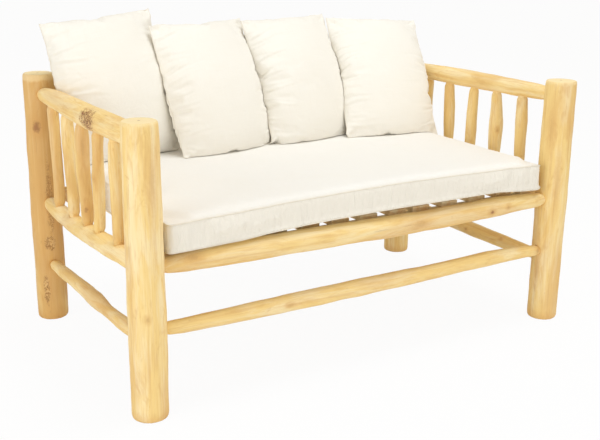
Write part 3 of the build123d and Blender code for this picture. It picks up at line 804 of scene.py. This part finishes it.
class LOVESEAT_OT_seat_cushion(bpy.types.Operator):
    """Sews and fills the long seat cushion"""
    bl_idname = "loveseat.seat_cushion"
    bl_label = "Seat cushion"

    def execute(self, context):
        looks = context.scene.loveseat_cotton
        lowest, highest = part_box("seat_cushion")
        middle, size = (lowest + highest) / 2, highest - lowest
        low, high = lowest.z + 0.008, highest.z - 0.005
        piece = blank_panels(
            "seat_cushion_cover", size.x - 0.006, size.y - 0.004, looks.seat_grid, low, high, 8)
        flat = points_of(piece)
        half = np.abs(flat[:, :2]).max(axis=0)
        rim = np.abs(np.abs(flat[:, :2]) - half).min(axis=1) < TIDY
        top, bottom = flat[:, 2] > high - TIDY, flat[:, 2] < low + TIDY
        corner = 0.012
        points = flat.copy()
        over = np.clip((np.abs(flat[:, :2]) - (half - corner)) / corner, 0, 1)
        eased = over * np.sqrt(1 - over[:, ::-1] ** 2 / 2)
        points[:, :2] = np.sign(flat[:, :2]) * (
            np.minimum(np.abs(flat[:, :2]), half - corner) + eased * corner)
        inward = np.clip((half - np.abs(flat[:, :2])).min(axis=1) / 0.11, 0, 1)
        dome = inward * (2 - inward)
        points[:, 2] += np.where(top, 0.007, np.where(bottom, -0.008, 0)) * dome
        points[:, :2] += (middle.x, middle.y)
        owner = np.repeat(
            np.arange(len(piece.data.polygons)), [face.loop_total for face in piece.data.polygons])
        facing = np.abs(rows_of(piece.data.polygons, "normal", 3))[owner]
        laid = flat[corners_of(piece)]
        panel = np.where(
            (facing[:, 2] > 0.7)[:, None], laid[:, :2],
            np.where((facing[:, 1] > 0.7)[:, None], laid[:, [0, 2]], laid[:, [1, 2]]))
        lay_out(piece, panel)
        band, sewn = rim & ~top & ~bottom, rim & (top | bottom)
        # The rim marks the band for its puckers and for its painted shade.
        note(piece, "band_puckers_and_painted_shade", "POINT", rim)
        ripple = np.array([
            noise.noise(Vector((point[0] * 46, point[1] * 46, point[2] * 9))) if edge else 0.0
            for point, edge in zip(flat, rim)])
        outward = np.sign(flat[:, :2]) * (np.abs(np.abs(flat[:, :2]) - half) < TIDY)
        points[:, :2] += outward * (ripple * np.where(band, 0.0016, 0.0005))[:, None]
        set_points(piece, points)
        before = points.copy()
        swell(piece, 3.0, 12, (-0.006, 0.012), sewn.astype(float), 0.5)
        moved = points_of(piece) - before
        reach = np.linalg.norm(moved, axis=1)
        most = np.where(bottom, 0.0015, np.where(band, 0.006, looks.seat_rise))
        share = np.minimum(1, most / np.maximum(reach, TIDY))
        points = before + moved * share[:, None]
        across, up_top, up_bottom = np.array(FRONT_WAVE).T
        share = np.clip((flat[:, 2] - low) / (high - low), 0, 1)
        wave = share * np.interp(points[:, 0], across, up_top) + (1 - share) * np.interp(
            points[:, 0], across, up_bottom)
        from_front = np.clip(1 - (points[:, 1] - lowest.y) / WAVE_REACH, 0, 1)
        points[:, 2] += wave * from_front ** 2 * (3 - 2 * from_front)
        points[:, 2] = np.maximum(points[:, 2], lowest.z + 0.0004)
        points = pushed_clear(points, wood_near(
            *POSTS, "left_seat_rail", "right_seat_rail", "front_seat_rail", "rear_seat_rail",
            *SPINDLES["left"], *SPINDLES["right"]))
        set_points(piece, points)
        pairs = pairs_of(piece)
        level = np.abs(flat[pairs[:, 0], 2] - flat[pairs[:, 1], 2]) < TIDY
        seams = sewn[pairs].all(axis=1) & level
        note(piece, "crease_edge", "EDGE", np.where(seams, 0.85, 0.0))
        seam_along(
            piece, seams, "seat_cushion_seams", looks.welt * 1.2,
            cotton("seat_seam_cotton", seam_piece=True), "seat_cushion")
        press(piece, "SUBSURF", levels=1, render_levels=1)
        bpy.ops.object.shade_smooth()
        piece.data.materials.append(cotton("seat_cotton", band=True))
        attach(piece, "seat_cushion")
        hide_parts("seat_cushion")
        return {"FINISHED"}


def cushion_place(foot, turn, lean, tip):
    """From a panel lying flat to where its back cushion leans: x across, y up, z to the front."""
    width, height = CUSHION_SIZE
    raised = width / 2 * abs(math.sin(math.radians(tip)))
    upright = Matrix(((1, 0, 0, 0), (0, 0, -1, 0), (0, 1, 0, 0), (0, 0, 0, 1)))
    return (
        Matrix.Translation(foot) @ Matrix.Rotation(math.radians(turn), 4, "Z")
        @ Matrix.Rotation(math.radians(-lean), 4, "X") @ Matrix.Translation((0, 0, raised))
        @ Matrix.Rotation(math.radians(-tip), 4, "Y") @ Matrix.Translation((0, 0, height / 2)) @ upright)


def filled_cover(name, fullness, seed):
    """One back cushion, cut, sewn and filled, lying flat: x across, y up, z to the front."""
    looks = bpy.context.scene.loveseat_cotton
    half = np.array((looks.pillow_width, looks.pillow_height)) / 2
    piece = blank_panels(name, *(2 * half), looks.pillow_grid, -0.004, 0.004, 2)
    flat = points_of(piece)
    lay_out(piece, flat[corners_of(piece), :2])
    note(piece, "sewn", "POINT", np.abs(flat[:, 2]) < TIDY)
    share = flat[:, :2] / half
    points = flat.copy()
    points[:, :2] += share * (looks.side_bow, looks.top_bow) * (1 - share[:, ::-1] ** 2)
    points[:, :2] += share * (looks.pillow_ear * np.abs(share.prod(axis=1)) ** 10)[:, None]
    crown = np.clip(1 - share ** 2, 0, 1).prod(axis=1) ** 0.80
    ripple = np.array([noise.noise(Vector((point[0] * 16, point[1] * 42, seed))) for point in flat])
    points[:, 2] += np.sign(flat[:, 2]) * (crown * looks.pillow_fullness * 0.42 + ripple * 0.0012)
    set_points(piece, points)
    inset = ((1 - np.abs(share)) * half).min(axis=1)
    swell(piece, 3.0, 11, (-0.004, 0.025), np.clip(1 - inset / 0.012, 0, 1), 0.2)
    points = points_of(piece)
    points[:, 2] *= looks.pillow_fullness * fullness / np.ptp(points[:, 2])
    set_points(piece, points)
    press(piece, "SUBSURF", levels=1, render_levels=1)
    return piece


def pressed_creases(piece, seed):
    """Presses short creases into a filled cover, inward from its seams and its corners."""
    looks = bpy.context.scene.loveseat_cotton
    half = np.array((looks.pillow_width, looks.pillow_height)) / 2
    laid = np.zeros((len(piece.data.vertices), 2))
    laid[corners_of(piece)] = rows_of(piece.data.uv_layers.active.data, "uv", 2)
    normals = rows_of(piece.data.vertices, "normal", 3)
    points = points_of(piece)
    chance = random.Random(seed)
    depth = np.zeros(len(points))
    for front in (-1, 1):
        rows = []
        for side, count in ((-1, 19), (1, 13)):
            for index in range(count):
                up = (index + chance.uniform(0.1, 0.9)) / count * 2 - 1
                rows.append((
                    side, up, -side, chance.uniform(-0.22, 0.22), chance.uniform(0.035, 0.140),
                    chance.uniform(0.0024, 0.0042), chance.uniform(0.0010, 0.0027)))
        for upward in (-1, 1):
            for index in range(7):
                over = (index + chance.uniform(0.1, 0.9)) / 7 * 2 - 1
                rows.append((
                    over, upward, chance.uniform(-0.35, 0.35), -upward, chance.uniform(0.020, 0.050),
                    chance.uniform(0.0026, 0.0042), chance.uniform(0.0008, 0.0018)))
            for side in (-1, 1):
                rows.append((
                    side, upward, -side, -upward * chance.uniform(0.4, 1.1), chance.uniform(0.05, 0.09),
                    chance.uniform(0.005, 0.008), chance.uniform(0.003, 0.006)))
        for over, up, way_x, way_y, reach, half_width, deep in rows:
            way = np.array((way_x, way_y)) / math.hypot(way_x, way_y)
            offset = laid - half * (over, up)
            along = offset @ way / reach
            across = offset @ (-way[1], way[0]) + 0.0022 * np.sin(offset @ way * 60 + 9 * up)
            fade = np.clip(along * 7, 0, 1) * np.clip(1 - along, 0, 1)
            fold = np.exp(-(across / half_width) ** 2) - 0.7 * np.exp(-(across / half_width - 1.9) ** 2)
            depth += np.where(points[:, 2] * front > 0, deep * fade * fold, 0)
    set_points(piece, points - normals * depth[:, None])


class LOVESEAT_OT_back_cushions(bpy.types.Operator):
    """Sews and fills the four loose back cushions"""
    bl_idname = "loveseat.back_cushions"
    bl_label = "Back cushions"

    def execute(self, context):
        looks = context.scene.loveseat_cotton
        cloth, thread = cotton("back_cotton"), cotton("seam_cotton", seam_piece=True)
        against = wood_near(
            "left_arm_rail", "right_arm_rail", "back_rail", "rear_left_post", "rear_right_post",
            *SPINDLES["back"])
        against.append(surface_of(bpy.data.objects["seat_cushion_cover"]))
        for name, (foot, turn, lean, tip, fullness, seed) in BACK_CUSHIONS.items():
            piece = filled_cover(f"{name}_cover", fullness, seed)
            pressed_creases(piece, seed)
            piece.data.transform(cushion_place(foot, turn, lean, tip))
            eased_clear(piece, against)
            against.append(surface_of(piece))
            sewn = rows_of(piece.data.attributes["sewn"].data, "value", 1, np.float32)[:, 0]
            seams = sewn[pairs_of(piece)].min(axis=1) > 0.9
            seam_along(piece, seams, f"{name}_seam", looks.welt, thread, name)
            hold(piece)
            bpy.ops.object.shade_smooth()
            piece.data.materials.append(cloth)
            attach(piece, name)
            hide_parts(name)
        return {"FINISHED"}


# Stage


def soft_lamp(name, power, size, place, target):
    """A large square lamp that faces a point."""
    lamp = bpy.data.lights.new(name, "AREA")
    lamp.energy, lamp.size = power, size
    lamp.color = LAMP_TINT
    holder = bpy.data.objects.new(name, lamp)
    bpy.context.scene.collection.objects.link(holder)
    holder.location = place
    holder.rotation_euler = (Vector(target) - Vector(place)).to_track_quat("-Z", "Y").to_euler()


def shown_white(bench, share):
    """How much of a surface the camera and reflections see as plain white."""
    path = bench.node("ShaderNodeLightPath")
    seen = bench.sum("MAXIMUM", path.outputs["Is Camera Ray"], bench.sum(
        "MAXIMUM", path.outputs["Is Glossy Ray"], path.outputs["Is Transmission Ray"]))
    return bench.times(seen, share)


class LOVESEAT_OT_stage(bpy.types.Operator):
    """Sets up the floor, the lamps and the camera"""
    bl_idname = "loveseat.stage"
    bl_label = "Stage"

    def execute(self, context):
        scene = context.scene
        studio = scene.loveseat_studio
        bpy.ops.mesh.primitive_plane_add(size=30)
        floor = context.active_object
        floor.name = "studio_floor"
        bench = Bench("studio_floor")
        bench.shader.inputs["Base Color"].default_value = (0.90, 0.89, 0.87, 1)
        bench.shader.inputs["Roughness"].default_value = 0.9
        glow = bench.node("ShaderNodeEmission", {"Color": (1.0, 1.0, 1.0), "Strength": 1.0})
        mixed = bench.node("ShaderNodeMixShader", {0: shown_white(bench, 0.94)})
        bench.tree.links.new(bench.shader.outputs[0], mixed.inputs[1])
        bench.tree.links.new(glow.outputs[0], mixed.inputs[2])
        bench.tree.links.new(mixed.outputs[0], bench.tree.nodes["Material Output"].inputs["Surface"])
        floor.data.materials.append(bench.material)

        world = scene.world or bpy.data.worlds.new("Studio")
        scene.world = world
        world.use_nodes = True
        tree = world.node_tree
        tree.nodes.clear()
        path = tree.nodes.new("ShaderNodeLightPath")
        both = tree.nodes.new("ShaderNodeMixShader")
        out = tree.nodes.new("ShaderNodeOutputWorld")
        tree.links.new(path.outputs["Is Camera Ray"], both.inputs[0])
        for index, tone, strength in (
            (1, (1.0, 0.940, 0.845, 1), studio.daylight), (2, (1, 1, 1, 1), 1.0),
        ):
            sky = tree.nodes.new("ShaderNodeBackground")
            sky.inputs["Color"].default_value = tone
            sky.inputs["Strength"].default_value = strength
            tree.links.new(sky.outputs[0], both.inputs[index])
        tree.links.new(both.outputs[0], out.inputs["Surface"])

        soft_lamp("key_lamp", studio.key, 1.8, (0.8, -0.6, 4.2), (0, 0, 0.4))
        soft_lamp("fill_lamp", studio.fill, 1.8, (-3.3, -0.9, 1.2), (0, 0, 0.4))
        soft_lamp("low_lamp", studio.low, 1.0, (0.2, -3.2, 0.3), (0, 0, 0.3))

        camera = bpy.data.cameras.new("camera")
        camera.lens = studio.camera_lens
        camera.sensor_width = 36
        holder = bpy.data.objects.new("camera", camera)
        scene.collection.objects.link(holder)
        holder.location = studio.camera_place
        holder.rotation_euler = studio.camera_turn
        scene.camera = holder
        scene.view_settings.view_transform = "Standard"
        return {"FINISHED"}


class LOVESEAT_PT_pieces(bpy.types.Panel):
    """The loveseat's pieces, with their sizes and colours"""
    bl_label = "Patio loveseat"
    bl_idname = "LOVESEAT_PT_pieces"
    bl_space_type = "VIEW_3D"
    bl_region_type = "UI"
    bl_category = "Loveseat"

    def draw(self, context):
        scene = context.scene
        for group, _, operators in GROUPS:
            box = self.layout.box()
            settings = getattr(scene, group)
            for key in settings.__annotations__:
                box.prop(settings, key)
            for operator in operators:
                box.operator(operator.bl_idname)


GROUPS = (
    ("loveseat_wood", PeeledWood, (LOVESEAT_OT_posts, LOVESEAT_OT_rails, LOVESEAT_OT_spindles)),
    ("loveseat_slats", SlatWood, (LOVESEAT_OT_seat_deck,)),
    ("loveseat_cotton", CottonCover, (LOVESEAT_OT_seat_cushion, LOVESEAT_OT_back_cushions)),
    ("loveseat_studio", Studio, (LOVESEAT_OT_stage,)),
)
CLASSES = (
    *(kind for _, kind, _ in GROUPS),
    *(operator for _, _, operators in GROUPS for operator in operators), LOVESEAT_PT_pieces,
)


def register():
    for kind in CLASSES:
        bpy.utils.register_class(kind)
    for key, kind, _ in GROUPS:
        setattr(bpy.types.Scene, key, PointerProperty(type=kind))


def unregister():
    for key, _, _ in GROUPS:
        delattr(bpy.types.Scene, key)
    for kind in reversed(CLASSES):
        bpy.utils.unregister_class(kind)


def main():
    """Makes every piece in order."""
    register()
    bpy.ops.loveseat.posts()
    bpy.ops.loveseat.rails()
    bpy.ops.loveseat.spindles()
    bpy.ops.loveseat.seat_deck()
    bpy.ops.loveseat.seat_cushion()
    bpy.ops.loveseat.back_cushions()
    bpy.ops.loveseat.stage()


if __name__ == "__main__":
    main()
